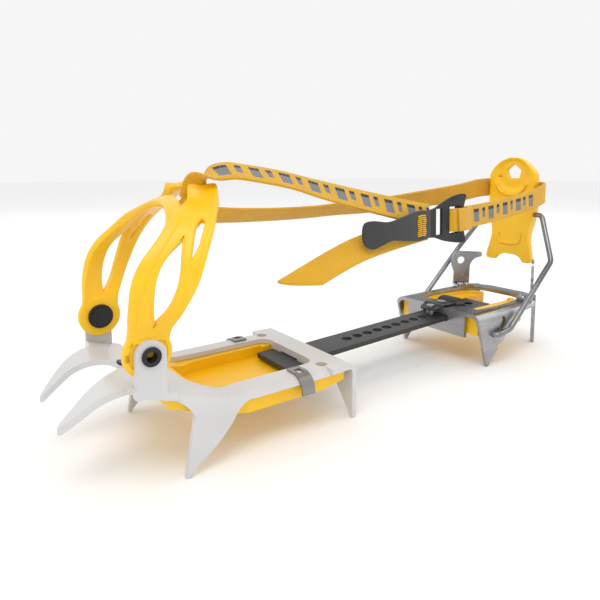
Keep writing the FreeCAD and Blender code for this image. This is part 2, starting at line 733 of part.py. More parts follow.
def make_heel_snow_plate(sheet):
    front = dim("heel_front")
    top = dim("heel_top") - THICK - 0.3
    outline = [(34.4, front + 4), ((34.2, front + 34), (31.0, front + 60)),
               ((24.0, front + 72), (12.0, front + 77))]
    slab = prism("XY", mirror_points_arc(outline), 22.0, top)
    well = [(24.0, front + 12), ((25.4, front + 36), (23.2, front + 60)),
            ((19.0, front + 68), (8.0, front + 74))]
    slab = slab.cut(prism("XY", mirror_points_arc(well), 33.0, 60))
    lane = box(-12.2, 12.2, front - 5, front + 100, 25.6, 60)
    bays = both_sides(box(28.0, 40, front + 6, front + 24, 10, 30.5))
    rear_fall = prism("YZ", [(front + 60, 20), (front + 90, 20), (front + 90, 28)], -60, 60)
    slab = slab.cut([lane, bays, rear_fall])
    add_shape("heel_snow_plate", clear_of(slab, sheet, 0.25))


# ---------------------------------------------------------------- latch

def make_latch():
    """Riveted leaf spring on the heel plate's front bar; its free end carries the pin."""
    front = dim("heel_front")
    top = dim("heel_top")
    stock = 1.1
    leaf = prism("YZ", [
        (front + 3.2, top), (front + 13, top), ((front + 19, top + 2.6), (front + 24, top + 0.4)),
        (front + 24, top + 0.4 + stock), ((front + 19, top + 2.6 + stock), (front + 13, top + stock)),
        (front + 3.2, top + stock),
    ], -8.5, 8.5)
    plan = [(8.5, front), (8.5, front + 14), (4.5, front + 24.5)]
    leaf = leaf.common(prism("XY", mirror_points(plan), 20, 60))
    rivet_hole = Part.makeCylinder(2.0, 20, vec(0, front + 7, 30), Z_AXIS)
    add_shape("latch_leaf", leaf.cut(rivet_hole))
    lift = top + 0.35
    hook = prism("YZ", [
        (front + 2.8, lift), (front - 0.4, lift), (front - 3.2, lift - 1.4),
        (front - 10.5, lift - 2.4), (front - 10.5, lift - 2.4 + stock),
        (front - 3.6, lift - 1.4 + stock), (front - 0.8, lift + stock), (front + 2.8, lift + stock),
    ], -8.5, 8.5)
    plan = [(4.6, front - 10.5), (7.4, front - 7), (8.5, front), (8.5, front + 3)]
    hook = hook.common(prism("XY", mirror_points(plan), 20, 60))
    pin_y = dim("pin_place")
    pin_radius = 2.9
    hook = hook.cut(Part.makeCylinder(pin_radius, 20, vec(0, pin_y, 30), Z_AXIS))
    add_shape("latch_spring", hook)
    rise = math.tan(math.radians(dim("link_slope")))
    low = dim("link_height") + rise * (pin_y - dim("link_first")) + 0.45
    add_shape("latch_pin", Part.makeCylinder(pin_radius, top + 0.9 - low, vec(0, pin_y, low), Z_AXIS))
    shank = Part.makeCylinder(2.0, THICK + stock, vec(0, front + 7, top - THICK), Z_AXIS)
    head = Part.makeCylinder(3.3, 0.9, vec(0, front + 7, top + stock), Z_AXIS)
    add_shape("latch_rivet", shank.fuse(head))


# ---------------------------------------------------------------- bail and lever

def rounded_path(points, radii):
    """Straight runs joined by tangent arcs of the given radii at the inner points."""
    edges = []
    here = points[0]
    for index in range(1, len(points) - 1):
        corner = points[index]
        back = (points[index - 1] - corner).normalize()
        ahead = (points[index + 1] - corner).normalize()
        turn = math.pi - back.getAngle(ahead)
        cut = radii[index - 1] * math.tan(turn / 2)
        start = corner + back * cut
        end = corner + ahead * cut
        inward = (back + ahead).normalize()
        middle = corner + inward * (radii[index - 1] * (1 / math.cos(turn / 2) - 1))
        edges.append(Part.LineSegment(here, start).toShape())
        edges.append(Part.Arc(start, middle, end).toShape())
        here = end
    edges.append(Part.LineSegment(here, points[-1]).toShape())
    return Part.Wire(edges)


def tube_along(path, radius):
    start = path.Edges[0]
    at = start.valueAt(start.FirstParameter)
    along = start.tangentAt(start.FirstParameter)
    profile = Part.Wire([Part.Circle(at, along, radius).toShape()])
    return path.makePipeShell([profile], True, False)


def make_heel_bail():
    """One bent wire: two feet in the heel plate, two legs, and a bar through the lever."""
    half = dim("bail_half")
    foot_y = dim("bail_place")
    foot_z = dim("bail_height")
    top_y = dim("lever_place")
    top_z = dim("lever_height")
    knee = vec(half, top_y - 15, top_z - 33)
    right = [
        vec(30.5, foot_y, foot_z), vec(half, foot_y, foot_z), vec(half, foot_y + 15, foot_z + 2),
        knee, vec(25.0, top_y, top_z),
    ]
    left = [vec(-p.x, p.y, p.z) for p in reversed(right)]
    path = rounded_path(right + left, [3.0, 9.0, 9.0, 5.0, 5.0, 9.0, 9.0, 3.0])
    add_shape("heel_bail", tube_along(path, dim("wire_radius")))


def make_heel_lever():
    """Moulded lever: forked foot for the boot's heel welt, thick hinge, house-shaped top."""
    outline = [
        (0, 147.3), (3.5, 147.0), (14.0, 141.5), (20.2, 133.5), (19.6, 118), (19.0, 99),
        ((15.6, 84), (20.6, 64.5)), ((20.6, 62.6), (18.6, 62.0)), (12.5, 61.6),
        ((8.5, 66.6), (0, 67.4)),
    ]
    blade = prism("XZ", mirror_points_arc(outline), 300, 350)
    mid = dim("lever_place")
    bulge = prism("YZ", [
        (mid - 4.6, 60), (mid - 4.6, 150), (mid + 1.2, 150), (mid + 3.0, 124),
        ((mid + 7.0, 101), (mid + 2.4, 78)), (mid - 1.4, 60),
    ], -60, 60)
    blade = blade.common(bulge)
    window = prism("XZ", [(-5.0, 130), (5.0, 130), (6.6, 137), (0, 142.6), (-6.6, 137)], 300, 350)
    screw_hole = Part.makeCylinder(1.1, 50, vec(-12.0, 300, 131.5), Y_AXIS)
    gap = dim("wire_radius") + dim("running_gap")
    bore = rod_x(gap, -60, 60, mid, dim("lever_height"))
    add_shape("heel_lever", blade.cut([window, screw_hole, bore]))


# ---------------------------------------------------------------- strap and buckle

def strap_section(point, width, lean):
    """Rectangle across the strap: width mostly upright, thickness mostly across."""
    across = vec(math.cos(math.radians(lean)), 0, math.sin(math.radians(lean)))
    up = vec(-across.z, 0, across.x)
    thick = dim("strap_thick")
    corners = []
    for u, v in ((-1, -1), (1, -1), (1, 1), (-1, 1)):
        corners.append(point + across * (u * thick / 2) + up * (v * width / 2))
    return Part.makePolygon(corners + [corners[0]])


def strap_along(stations):
    """A flat band through (x, y, z, lean) stations at its middle line."""
    width = dim("strap_width")
    sections = [strap_section(vec(x, y, z), width, lean) for x, y, z, lean in stations]
    return Part.makeLoft(sections, True, True)


def make_straps():
    add_shape("strap_near", strap_along([
        (18.8, 59, 135.8, 60), (20.9, 82, 132.0, 56), (23.0, 104, 126.3, 48),
        (26.2, 139, 118.1, 36), (30.0, 174, 110.9, 26),
    ]))
    add_shape("strap_far", strap_along([
        (-17.6, 61, 111.4, -54), (-18.3, 93, 110.2, -57), (-19.1, 127, 110.1, -57),
        (-19.8, 152, 111.1, -55), (-20.2, 169, 111.6, -48),
    ]))
    add_shape("strap_far_rear", strap_along([
        (-20.9, 201, 112.2, -38), (-22.0, 240, 114.6, -26), (-22.8, 270, 116.8, -20),
    ]))
    add_shape("strap_near_rear", strap_along([
        (27.0, 252, 107.8, 0), (26.4, 270, 109.4, 0),
    ]))
    mid = dim("lever_place")
    rear = box(-25.4, 25.4, mid + 7.2, mid + 8.8, 112.5, 127.5)
    left = box(-25.4, -23.8, mid - 30, mid + 8.8, 113.5, 128.5)
    right = box(23.8, 25.4, mid - 30, mid + 8.8, 107, 122)
    add_shape("strap_wrap", rear.fuse([left, right]))
    add_shape("strap_tail", strap_along([
        (28.6, 170, 99.0, 20), (31.0, 148, 96.8, 30), (33.2, 122, 92.6, 40), (35.2, 98, 85.8, 48),
        (36.8, 72, 76.6, 50),
    ]))


def beside_strap(shape):
    """Lay a piece made flat on the YZ plane against the near strap where it buckles."""
    moved = shape.copy()
    moved.rotate(vec(0, 0, 0), X_AXIS, dim("buckle_pitch"))
    moved.rotate(vec(0, 0, 0), Z_AXIS, dim("buckle_turn"))
    moved.translate(vec(32.0, dim("buckle_place"), 104.6))
    return moved


def make_buckle():
    """Stamped steel ladder buckle with a sewn fabric pull tab."""
    plate = prism("YZ", [
        (-21, 7.6), ((-12, 9.0), (-4, 12.0)), (10, 15.8), ((17.6, 16.6), (18.6, 10.0)),
        (18.6, -10.0), ((17.6, -15.6), (10, -15.4)), (-4, -12.6), ((-12, -9.4), (-21, -8.4)),
        ((-22.6, 0), (-21, 7.6)),
    ], -1.1, 1.1)
    slots = [box(-2, 2, -11.5, -5.5, -8.3, 8.3), box(-2, 2, 1.5, 12.5, -8.6, 8.6)]
    add_shape("buckle_frame", beside_strap(plate.cut(slots)))
    bar = Part.makeCylinder(1.3, 22.0, vec(-2.6, 15.0, -11), Z_AXIS)
    add_shape("buckle_bar", beside_strap(bar))
    wrap = box(-4.9, -3.9, 4, 20, -7.4, 7.4).fuse(box(1.5, 2.5, 2.5, 20, -7.4, 7.4))
    wrap = wrap.fuse(box(-4.9, 2.5, 19.2, 20.2, -7.4, 7.4))
    add_shape("strap_keeper", beside_strap(wrap))
    tab = prism("YZ", [
        (-76, -6.5), ((-79.5, 0), (-76, 6.2)), ((-58, 4.4), (-44, 7.6)), ((-32, 9.2), (-22, 8.6)),
        (-22, -8.6), ((-32, -9.0), (-44, -7.6)), ((-58, -5.6), (-66, -8.4)),
        ((-72, -9.6), (-76, -6.5)),
    ], 2.0, 3.4)
    add_shape("pull_tab", beside_strap(tab))


make_front_snow_plate(make_front_plate())
make_snow_clips()
make_eyelet()
make_toe_rivets()
make_toe_washers()
make_toe_cradle()
make_linking_bar()
heel_sheet = make_heel_plate()
make_heel_posts()
make_heel_snow_plate(heel_sheet)
make_latch()
make_heel_bail()
make_heel_lever()
make_straps()
make_buckle()
doc.recompute()

for thing in doc.Objects:
    if "Invalid" in thing.State or "Error" in thing.State:
        raise RuntimeError("%s failed: %s" % (thing.Label, thing.State))

whole = FreeCAD.BoundBox()
for node in subparts:
    shape = node.Shape
    if shape.isNull() or not shape.isValid() or not shape.Solids:
        raise RuntimeError(node.Label + " has no valid solid")
    shape.exportStep("parts/%s.step" % node.Label)
    whole.add(shape.BoundBox)
    print("%-20s solids %d volume %9.1f" % (node.Label, len(shape.Solids), shape.Volume))
print("box", whole)
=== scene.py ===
import math

import bmesh
import bpy
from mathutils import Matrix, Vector


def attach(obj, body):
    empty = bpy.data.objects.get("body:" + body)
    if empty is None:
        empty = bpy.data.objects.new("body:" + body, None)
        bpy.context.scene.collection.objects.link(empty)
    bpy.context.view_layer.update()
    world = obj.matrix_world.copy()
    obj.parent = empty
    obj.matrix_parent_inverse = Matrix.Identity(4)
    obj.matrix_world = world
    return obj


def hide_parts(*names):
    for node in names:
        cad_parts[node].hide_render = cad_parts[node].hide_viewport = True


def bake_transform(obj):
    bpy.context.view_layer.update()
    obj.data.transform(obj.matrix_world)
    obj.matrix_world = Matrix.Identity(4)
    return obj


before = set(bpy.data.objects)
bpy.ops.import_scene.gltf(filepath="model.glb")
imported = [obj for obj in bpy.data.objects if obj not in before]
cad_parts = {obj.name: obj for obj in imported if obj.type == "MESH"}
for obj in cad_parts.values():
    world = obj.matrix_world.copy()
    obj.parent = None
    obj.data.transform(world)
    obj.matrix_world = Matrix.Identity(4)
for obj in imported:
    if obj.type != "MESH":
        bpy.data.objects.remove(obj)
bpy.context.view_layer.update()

MM = 0.001
SHIFT = 150.7          # toe pivot line to the frame's origin, in mm
PIVOT_Z = 59.7         # height of the toe pivots
ARM_X = 36.4           # middle of the cradle arms at the pivots
HINGE_Y = 326.0        # hinge line of the heel lever


def at(x, y, z):
    """A point given in mm from the toe pivot line, as a point of the frame in metres."""
    return Vector((x * MM, (y - SHIFT) * MM, z * MM))


# ---------------------------------------------------------------- materials

ROUGH_SPREAD = 0.12    # how far roughness wanders either side of a material's own
GRAIN_DEPTH = 0.0002   # depth of the surface grain, in metres


def node_material(name, color, second, rough, metal=0.0, grain=400.0, bump=0.1, mix_scale=20.0,
                  coat=0.0, stretch=(1, 1, 1), sheen=0.0):
    """Two tones mixed by noise, uneven roughness and a fine surface grain."""
    mat = bpy.data.materials.new(name)
    mat.use_nodes = True
    tree = mat.node_tree
    shader = tree.nodes["Principled BSDF"]
    shader.inputs["Metallic"].default_value = metal
    shader.inputs["Coat Weight"].default_value = coat
    shader.inputs["Coat Roughness"].default_value = 0.25
    shader.inputs["Sheen Weight"].default_value = sheen
    coords = tree.nodes.new("ShaderNodeTexCoord")
    mapping = tree.nodes.new("ShaderNodeMapping")
    mapping.inputs["Scale"].default_value = stretch
    tree.links.new(coords.outputs["Object"], mapping.inputs["Vector"])
    cloud = tree.nodes.new("ShaderNodeTexNoise")
    cloud.inputs["Scale"].default_value = mix_scale
    cloud.inputs["Detail"].default_value = 4.0
    tree.links.new(mapping.outputs["Vector"], cloud.inputs["Vector"])
    ramp = tree.nodes.new("ShaderNodeValToRGB")
    ramp.color_ramp.elements[0].position = 0.35
    ramp.color_ramp.elements[1].position = 0.68
    ramp.color_ramp.elements[0].color = (*second, 1)
    ramp.color_ramp.elements[1].color = (*color, 1)
    tree.links.new(cloud.outputs["Fac"], ramp.inputs["Fac"])
    tree.links.new(ramp.outputs["Color"], shader.inputs["Base Color"])
    spread = tree.nodes.new("ShaderNodeMapRange")
    spread.inputs["To Min"].default_value = max(0.05, rough - ROUGH_SPREAD)
    spread.inputs["To Max"].default_value = min(1.0, rough + ROUGH_SPREAD)
    tree.links.new(cloud.outputs["Fac"], spread.inputs["Value"])
    tree.links.new(spread.outputs["Result"], shader.inputs["Roughness"])
    fine = tree.nodes.new("ShaderNodeTexNoise")
    fine.inputs["Scale"].default_value = grain
    fine.inputs["Detail"].default_value = 3.0
    tree.links.new(mapping.outputs["Vector"], fine.inputs["Vector"])
    relief = tree.nodes.new("ShaderNodeBump")
    relief.inputs["Strength"].default_value = bump
    relief.inputs["Distance"].default_value = GRAIN_DEPTH
    tree.links.new(fine.outputs["Fac"], relief.inputs["Height"])
    tree.links.new(relief.outputs["Normal"], shader.inputs["Normal"])
    return mat


def woven_material(name, color, dark, pitch_u, pitch_v, strength=0.7, rough=0.75):
    """Cloth whose UVs are in mm: threads crossing at the given pitches, with painted shade between
    them.
    """
    mat = node_material(name, color, tuple(c * 0.88 for c in color), rough, grain=900, bump=0.2,
                        mix_scale=60, sheen=0.25)
    tree = mat.node_tree
    shader = tree.nodes["Principled BSDF"]
    uv = tree.nodes.new("ShaderNodeUVMap")
    uv.uv_map = "UVMap"
    heights = []
    for axis, pitch in (("X", pitch_u), ("Y", pitch_v)):
        wave = tree.nodes.new("ShaderNodeTexWave")
        wave.wave_type = "BANDS"
        wave.bands_direction = axis
        wave.inputs["Scale"].default_value = 0.314159 / pitch
        tree.links.new(uv.outputs["UV"], wave.inputs["Vector"])
        heights.append(wave)
    product = tree.nodes.new("ShaderNodeMath")
    product.operation = "MULTIPLY"
    tree.links.new(heights[0].outputs["Fac"], product.inputs[0])
    tree.links.new(heights[1].outputs["Fac"], product.inputs[1])
    relief = tree.nodes.new("ShaderNodeBump")
    relief.inputs["Strength"].default_value = strength
    relief.inputs["Distance"].default_value = 0.00025
    tree.links.new(product.outputs["Value"], relief.inputs["Height"])
    tree.links.new(relief.outputs["Normal"], shader.inputs["Normal"])
    ramp = next(n for n in tree.nodes if n.bl_idname == "ShaderNodeValToRGB")
    # painted shade: the colour goes towards dark where the weave is low, between the thread
    # crossings
    shade = tree.nodes.new("ShaderNodeMix")
    shade.data_type = "RGBA"
    shade.inputs["A"].default_value = (*dark, 1)
    tree.links.new(product.outputs["Value"], shade.inputs["Factor"])
    tree.links.new(ramp.outputs["Color"], shade.inputs["B"])
    lift = tree.nodes.new("ShaderNodeMapRange")
    lift.inputs["To Min"].default_value = 0.45
    tree.links.new(product.outputs["Value"], lift.inputs["Value"])
    tree.links.new(lift.outputs["Result"], shade.inputs["Factor"])
    tree.links.new(shade.outputs["Result"], shader.inputs["Base Color"])
    return mat


WHITE = node_material("powder_white", (0.62, 0.62, 0.62), (0.55, 0.55, 0.55), 0.36, grain=2200,
                      bump=0.12, coat=0.25)
YELLOW = node_material("moulded_yellow", (0.94, 0.56, 0.0), (0.88, 0.49, 0.0), 0.40, grain=3000,
                       bump=0.10, coat=0.15)
HEEL = node_material("heel_steel", (0.42, 0.42, 0.43), (0.33, 0.33, 0.34), 0.28, metal=0.85,
                     grain=1500, bump=0.12, stretch=(1, 6, 6))
BAR = node_material("bar_coat", (0.040, 0.040, 0.043), (0.024, 0.024, 0.026), 0.42, metal=0.2,
                    grain=2500, bump=0.15)
WIRE = node_material("drawn_wire", (0.30, 0.30, 0.31), (0.17, 0.17, 0.18), 0.24, metal=0.9,
                     grain=1800, bump=0.08)
BLACK = node_material("black_steel", (0.014, 0.014, 0.015), (0.007, 0.007, 0.008), 0.38, metal=0.2,
                      grain=1500, bump=0.12)
SPRING = node_material("spring_steel", (0.34, 0.33, 0.32), (0.20, 0.19, 0.18), 0.26, metal=0.95,
                       grain=1500, bump=0.1)
# the darker colour given to each woven material is the painted shade between its threads
WEBBING = woven_material("webbing_yellow", (0.92, 0.52, 0.0), (0.45, 0.20, 0.0), 1.1, 0.75)
BLOCK_GREY = woven_material("woven_grey", (0.26, 0.26, 0.27), (0.10, 0.10, 0.11), 1.1, 0.75)
BLOCK_DARK = woven_material("woven_black", (0.020, 0.018, 0.016), (0.01, 0.01, 0.01), 1.1, 0.75)
TAB = woven_material("tab_cloth", (0.036, 0.036, 0.040), (0.014, 0.014, 0.016), 0.55, 0.55, 0.35)
THREAD = node_material("thread_yellow", (0.95, 0.55, 0.01), (0.75, 0.38, 0.0), 0.6, grain=3000)


def darken_tops(mat, dark):
    """Darker colour on faces that look straight up."""
    tree = mat.node_tree
    shader = tree.nodes["Principled BSDF"]
    ramp = next(n for n in tree.nodes if n.bl_idname == "ShaderNodeValToRGB")
    facing = tree.nodes.new("ShaderNodeNewGeometry")
    split = tree.nodes.new("ShaderNodeSeparateXYZ")
    tree.links.new(facing.outputs["True Normal"], split.inputs["Vector"])
    step = tree.nodes.new("ShaderNodeMapRange")
    step.inputs["From Min"].default_value = 0.90
    step.inputs["From Max"].default_value = 0.98
    tree.links.new(split.outputs["Z"], step.inputs["Value"])
    mix = tree.nodes.new("ShaderNodeMix")
    mix.data_type = "RGBA"
    mix.inputs["B"].default_value = (*dark, 1)
    tree.links.new(step.outputs["Result"], mix.inputs["Factor"])
    tree.links.new(ramp.outputs["Color"], mix.inputs["A"])
    tree.links.new(mix.outputs["Result"], shader.inputs["Base Color"])


darken_tops(HEEL, (0.045, 0.045, 0.05))


# ---------------------------------------------------------------- mesh helpers

def mesh_object(name, verts, faces, mats, smooth=True, uvs=None, face_mats=None):
    data = bpy.data.meshes.new(name)
    data.from_pydata([tuple(v) for v in verts], [], faces)
    data.update()
    if uvs is not None:
        layer = data.uv_layers.new(name="UVMap")
        for poly in data.polygons:
            for loop_index in poly.loop_indices:
                layer.data[loop_index].uv = uvs[data.loops[loop_index].vertex_index]
    for mat in mats:
        data.materials.append(mat)
    if face_mats is not None:
        for poly, index in zip(data.polygons, face_mats):
            poly.material_index = index
    for poly in data.polygons:
        poly.use_smooth = smooth
    obj = bpy.data.objects.new(name, data)
    bpy.context.scene.collection.objects.link(obj)
    fix = bmesh.new()
    fix.from_mesh(data)
    bmesh.ops.recalc_face_normals(fix, faces=fix.faces)
    fix.to_mesh(data)
    fix.free()
    return obj


def spline(stations, step):
    """Points every step mm along a smooth curve; each station is a tuple of numbers."""
    count = len(stations)
    out = []
    for i in range(count - 1):
        p0 = stations[max(i - 1, 0)]
        p1 = stations[i]
        p2 = stations[i + 1]
        p3 = stations[min(i + 2, count - 1)]
        length = math.dist(p1[:3], p2[:3])
        parts = max(1, round(length / step))
        for k in range(parts):
            t = k / parts
            point = []
            for a, b, c, d in zip(p0, p1, p2, p3):
                point.append(0.5 * (2 * b + (c - a) * t + (2 * a - 5 * b + 4 * c - d) * t * t
                                    + (3 * b - a - 3 * c + d) * t ** 3))
            out.append(tuple(point))
    out.append(tuple(stations[-1]))
    return out


def ribbon(name, stations, width=15.0, thick=1.6, blocks=False, rib=2.3, point=0.0):
    """Ribbed webbing: stations are (x, y, z, width direction x, y, z) in mm; the last
    point mm slant off to one corner."""
    step = 0.55
    path = spline(stations, step)
    section = []
    for w in (-1.0, -0.985, -0.93, -0.6, -0.3, 0, 0.3, 0.6, 0.93, 0.985, 1.0):
        edge = 0.35 if abs(w) == 1.0 else (0.8 if abs(w) > 0.98 else 1.0)
        section.append((w, edge))
    ring = [(w, e) for w, e in section] + [(w, -e) for w, e in reversed(section)]
    verts = []
    uvs = []
    travelled = 0.0
    lengths = []
    for i, station in enumerate(path):
        here = Vector(station[:3])
        ahead = Vector(path[min(i + 1, len(path) - 1)][:3])
        behind = Vector(path[max(i - 1, 0)][:3])
        tangent = (ahead - behind).normalized()
        across = Vector(station[3:6])
        across = (across - tangent * across.dot(tangent)).normalized()
        normal = tangent.cross(across).normalized()
        if i:
            travelled += (here - Vector(path[i - 1][:3])).length
        lengths.append(travelled)
        wave = 0.13 * math.cos(2 * math.pi * travelled / rib)
        left = (len(path) - 1 - i) * step
        keep = min(1.0, 0.06 + left / point) if point else 1.0
        for w, e in ring:
            rise = e * (thick / 2 + wave * (1.0 if abs(w) < 0.95 else 0.3))
            slid = 1 - (1 - w) * keep if point else w
            place = here + across * (slid * width / 2) + normal * rise
            verts.append(at(*place))
            uvs.append((travelled, slid * width / 2))
    count = len(ring)
    faces = []
    face_mats = []
    outer_count = len(section) - 1
    for i in range(len(path) - 1):
        middle = (lengths[i] + lengths[i + 1]) / 2
        for k in range(count):
            nxt = (k + 1) % count
            faces.append((i * count + k, i * count + nxt, (i + 1) * count + nxt,
                          (i + 1) * count + k))
            index = 0
            w = (ring[k][0] + ring[nxt][0]) / 2
            outer_side = k < outer_count
            if blocks and outer_side and abs(w) < 0.75:
                index = block_at(middle, w)
            face_mats.append(index)
    faces.append(tuple(reversed(range(count))))
    faces.append(tuple((len(path) - 1) * count + k for k in range(count)))
    face_mats.extend([0, 0])
    obj = mesh_object(name, verts, faces, [WEBBING, BLOCK_GREY, BLOCK_DARK], True, uvs, face_mats)
    return obj


def block_at(length, w):
    """Woven pattern: a grey block with a black foot, repeated along the strap."""
    place = length % 18.0
    if place < 6.5 or (10.0 < place < 13.5 and w > -0.35):
        return 2 if w > 0.25 else 1
    return 0


def plate(name, outline, holes, thick, bevel, mat, cut_step=None):
    """A flat bevelled plate in the XY plane, centred on z=0, sizes in mm."""
    curve = bpy.data.curves.new(name, "CURVE")
    curve.dimensions = "2D"
    curve.fill_mode = "BOTH"
    curve.extrude = thick / 2 - bevel
    curve.bevel_depth = bevel
    curve.bevel_resolution = 2
    curve.offset = -bevel
    for loop in [outline] + list(holes):
        piece = curve.splines.new("POLY")
        piece.points.add(len(loop) - 1)
        for point, (x, y) in zip(piece.points, loop):
            point.co = (x, y, 0, 1)
        piece.use_cyclic_u = True
    source = bpy.data.objects.new(name + "_source", curve)
    bpy.context.scene.collection.objects.link(source)
    bpy.context.view_layer.update()
    graph = bpy.context.evaluated_depsgraph_get()
    data = bpy.data.meshes.new_from_object(source.evaluated_get(graph))
    bpy.data.objects.remove(source)
    work = bmesh.new()
    work.from_mesh(data)
    bmesh.ops.remove_doubles(work, verts=work.verts, dist=0.001)
    if cut_step:
        for axis in (0, 1):
            low = min(v.co[axis] for v in work.verts)
            high = max(v.co[axis] for v in work.verts)
            where = low + cut_step
            normal = Vector((1, 0, 0)) if axis == 0 else Vector((0, 1, 0))
            while where < high:
                geometry = work.verts[:] + work.edges[:] + work.faces[:]
                bmesh.ops.bisect_plane(work, geom=geometry, dist=0.0001, plane_co=normal * where,
                                       plane_no=normal)
                where += cut_step
    bmesh.ops.recalc_face_normals(work, faces=work.faces)
    work.to_mesh(data)
    work.free()
    data.materials.clear()
    data.materials.append(mat)
    for poly in data.polygons:
        poly.use_smooth = True
    obj = bpy.data.objects.new(name, data)
    bpy.context.scene.collection.objects.link(obj)
    return obj


def smooth_loop(points, step=2.0, corners=()):
    """A closed smooth loop through 2D points; indices in corners stay sharp."""
    count = len(points)
    out = []
    for i in range(count):
        p1 = points[i]
        p2 = points[(i + 1) % count]
        p0 = points[(i - 1) % count] if i not in corners else p1
        p3 = points[(i + 2) % count] if (i + 1) % count not in corners else p2
        parts = max(1, round(math.dist(p1, p2) / step))
        for k in range(parts):
            t = k / parts
            out.append(tuple(
                0.5 * (2 * b + (c - a) * t + (2 * a - 5 * b + 4 * c - d) * t * t
                       + (3 * b - a - 3 * c + d) * t ** 3)
                for a, b, c, d in zip(p0, p1, p2, p3)))
    return out


def circle_loop(x, y, radius, count=28):
    return [(x + radius * math.cos(2 * math.pi * k / count),
             y + radius * math.sin(2 * math.pi * k / count)) for k in range(count)]


def reshape(obj, rule):
    """Move each vertex to rule(x, y, z) in mm from the toe pivot line."""
    for vert in obj.data.vertices:
        vert.co = at(*rule(*vert.co))
    fix = bmesh.new()
    fix.from_mesh(obj.data)
    bmesh.ops.recalc_face_normals(fix, faces=fix.faces)
    fix.to_mesh(obj.data)
    fix.free()
    for poly in obj.data.polygons:
        poly.use_smooth = True
    obj.data.update()
    return obj


def hard_edges(obj, degrees=35.0):
    """Keep creases crisp while the rest shades smoothly."""
    obj.data.set_sharp_from_angle(angle=math.radians(degrees))
    return obj


def tube(name, path, radius, mat, sides=10, closed=False):
    """A round bead along points given in mm."""
    verts = []
    faces = []
    count = len(path)
    for i, place in enumerate(path):
        here = Vector(place)
        if closed:
            ahead = Vector(path[(i + 1) % count])
            behind = Vector(path[i - 1])
        else:
            ahead = Vector(path[min(i + 1, count - 1)])
            behind = Vector(path[max(i - 1, 0)])
        tangent = (ahead - behind).normalized()
        side = tangent.cross(Vector((0.13, 0.91, 0.39))).normalized()
        up = tangent.cross(side)
        for k in range(sides):
            angle = 2 * math.pi * k / sides
            verts.append(at(*(here + side * (radius * math.cos(angle))
                              + up * (radius * math.sin(angle)))))
    rows = count if closed else count - 1
    for i in range(rows):
        j = (i + 1) % count
        for k in range(sides):
            n = (k + 1) % sides
            faces.append((i * sides + k, i * sides + n, j * sides + n, j * sides + k))
    if not closed:
        faces.append(tuple(reversed(range(sides))))
        faces.append(tuple((count - 1) * sides + k for k in range(sides)))
    return mesh_object(name, verts, faces, [mat])


def join(name, parts):
    """One object from several, keeping their materials."""
    for obj in bpy.context.selected_objects:
        obj.select_set(False)
    for obj in parts:
        obj.select_set(True)
    bpy.context.view_layer.objects.active = parts[0]
    bpy.ops.object.join()
    parts[0].name = name
    return parts[0]


# ---------------------------------------------------------------- metal nodes

PAINT = {
    "front_plate": WHITE, "linking_bar": BAR, "heel_plate": HEEL, "heel_post_right": HEEL,
    "heel_post_left": HEEL, "post_rivets_right": HEEL, "post_rivets_left": HEEL,
    "heel_bail": WIRE, "snow_clip_right": SPRING, "snow_clip_left": SPRING,
    "toe_rivet_right": BLACK, "toe_rivet_left": BLACK, "toe_washer_right": BLACK,
    "toe_washer_left": BLACK, "front_eyelet": BLACK, "latch_leaf": BLACK, "latch_spring": BLACK,
    "latch_pin": WIRE, "latch_rivet": WIRE, "buckle_bar": BLACK, "buckle_frame": BLACK,
    "front_snow_plate": YELLOW, "heel_snow_plate": YELLOW,
}
for node_name, paint in PAINT.items():
    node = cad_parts[node_name]
    node.data.materials.clear()
    node.data.materials.append(paint)


# ---------------------------------------------------------------- toe cradle

ARM = [
    # front edge, then rear edge, of the middle of the sheet, from the pivot upwards
    (36.4, -9.8, 57.5, 36.4, 9.8, 57.5), (36.4, -8.8, 65, 36.4, 9.6, 65),
    (36.5, -7.9, 70, 37.8, 10.0, 70), (36.6, -7.4, 76, 41.4, 12.2, 76),
    (36.5, -6.4, 82, 44.0, 15.2, 82), (36.2, -5.0, 88, 45.4, 18.4, 88),
    (35.6, -2.6, 94, 45.4, 21.2, 94), (34.6, 1.0, 100, 44.3, 24.0, 100),
    (31.8, 7.4, 106.4, 42.1, 27.4, 106.4), (27.6, 14.0, 113.0, 38.7, 31.1, 112.2),
    (21.0, 22.4, 118.6, 34.3, 34.4, 116.8), (15.8, 28.4, 122.0, 29.4, 38.0, 121.2),
    (13.4, 30.0, 126.0, 23.6, 41.2, 126.0), (13.0, 30.0, 129.6, 17.4, 43.6, 129.8),
]
CROWN = [
    (33.4, 8.0, 104.6, 34.6, 22.4, 107.6), (26.2, 13.6, 112.2, 27.0, 22.6, 114.6),
    (18.2, 17.0, 116.4, 18.4, 25.0, 119.4), (9.0, 19.5, 119.4, 9.0, 26.8, 122.2),
    (0.0, 20.3, 120.4, 0.0, 27.4, 123.2),
]
WIDE = 20.0            # the arm's drawn width before it is bent to shape, in mm


def arm_frame(row):
    """Front edge, rear edge and outward normal of the arm at a height along its table."""
    row = min(max(row, 0.0), len(ARM) - 1.001)
    first = int(row)
    t = row - first
    rows = [ARM[min(max(first + k, 0), len(ARM) - 1)] for k in (-1, 0, 1, 2)]
    now = []
    slope = []
    for p0, p1, p2, p3 in zip(*rows):
        now.append(0.5 * (2 * p1 + (p2 - p0) * t + (2 * p0 - 5 * p1 + 4 * p2 - p3) * t * t
                          + (3 * p1 - p0 - 3 * p2 + p3) * t ** 3))
        slope.append(0.5 * ((p2 - p0) + 2 * (2 * p0 - 5 * p1 + 4 * p2 - p3) * t
                            + 3 * (3 * p1 - p0 - 3 * p2 + p3) * t * t))
    front = Vector(now[:3])
    rear = Vector(now[3:])
    along = Vector(slope[:3]) + Vector(slope[3:])
    return front, rear, (rear - front).cross(along).normalized()


